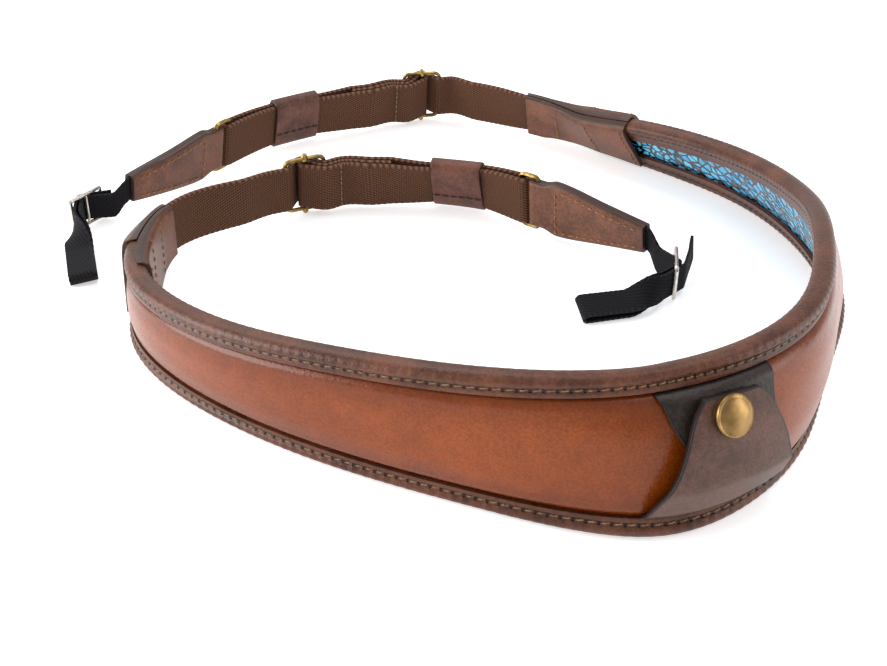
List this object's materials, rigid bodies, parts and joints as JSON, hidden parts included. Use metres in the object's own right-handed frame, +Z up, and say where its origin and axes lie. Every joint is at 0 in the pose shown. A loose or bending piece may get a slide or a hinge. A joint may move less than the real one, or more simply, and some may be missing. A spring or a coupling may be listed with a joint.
{
  "type": "camera neck strap",
  "caption": "Padded leather camera neck strap standing in an open loop, with adjustable webbing tails, leather tips and narrow lug loops.",
  "frame": {"origin": "on the table under the centre of the strap's box", "axes": "+Z up from the table, -Y towards the side with the pad's middle, +X towards the end with the pocket"},
  "size_m": [0.284, 0.298, 0.0489],
  "materials": {
    "tan_leather": "satin",
    "brown_leather": "satin",
    "reptile_lining": "semi-gloss",
    "brown_webbing": "matt",
    "black_webbing": "matt",
    "antique_brass": "satin",
    "nickel": "satin"
  },
  "bodies": {
    "root": {"border_lower": "brown_leather", "border_upper": "brown_leather", "end_tab_inner_inner": "brown_leather", "end_tab_inner_outer": "brown_leather", "end_tab_outer_inner": "brown_leather", "end_tab_outer_outer": "brown_leather", "keeper_inner": "brown_leather", "keeper_outer": "brown_leather", "lug_buckle_inner": "nickel", "lug_buckle_outer": "nickel", "lug_webbing_inner": "black_webbing", "lug_webbing_outer": "black_webbing", "pad_lining": "reptile_lining", "pad_panel": "tan_leather", "pocket_flap": "brown_leather", "pocket_under": "brown_leather", "ring_inner": "antique_brass", "ring_outer": "antique_brass", "slider_inner": "antique_brass", "slider_outer": "antique_brass", "snap_cap": "antique_brass", "snap_stud": "antique_brass", "tip_tab_inner": "brown_leather", "tip_tab_outer": "brown_leather", "webbing_inner": "brown_webbing", "webbing_outer": "brown_webbing"}
  },
  "joints": []
}
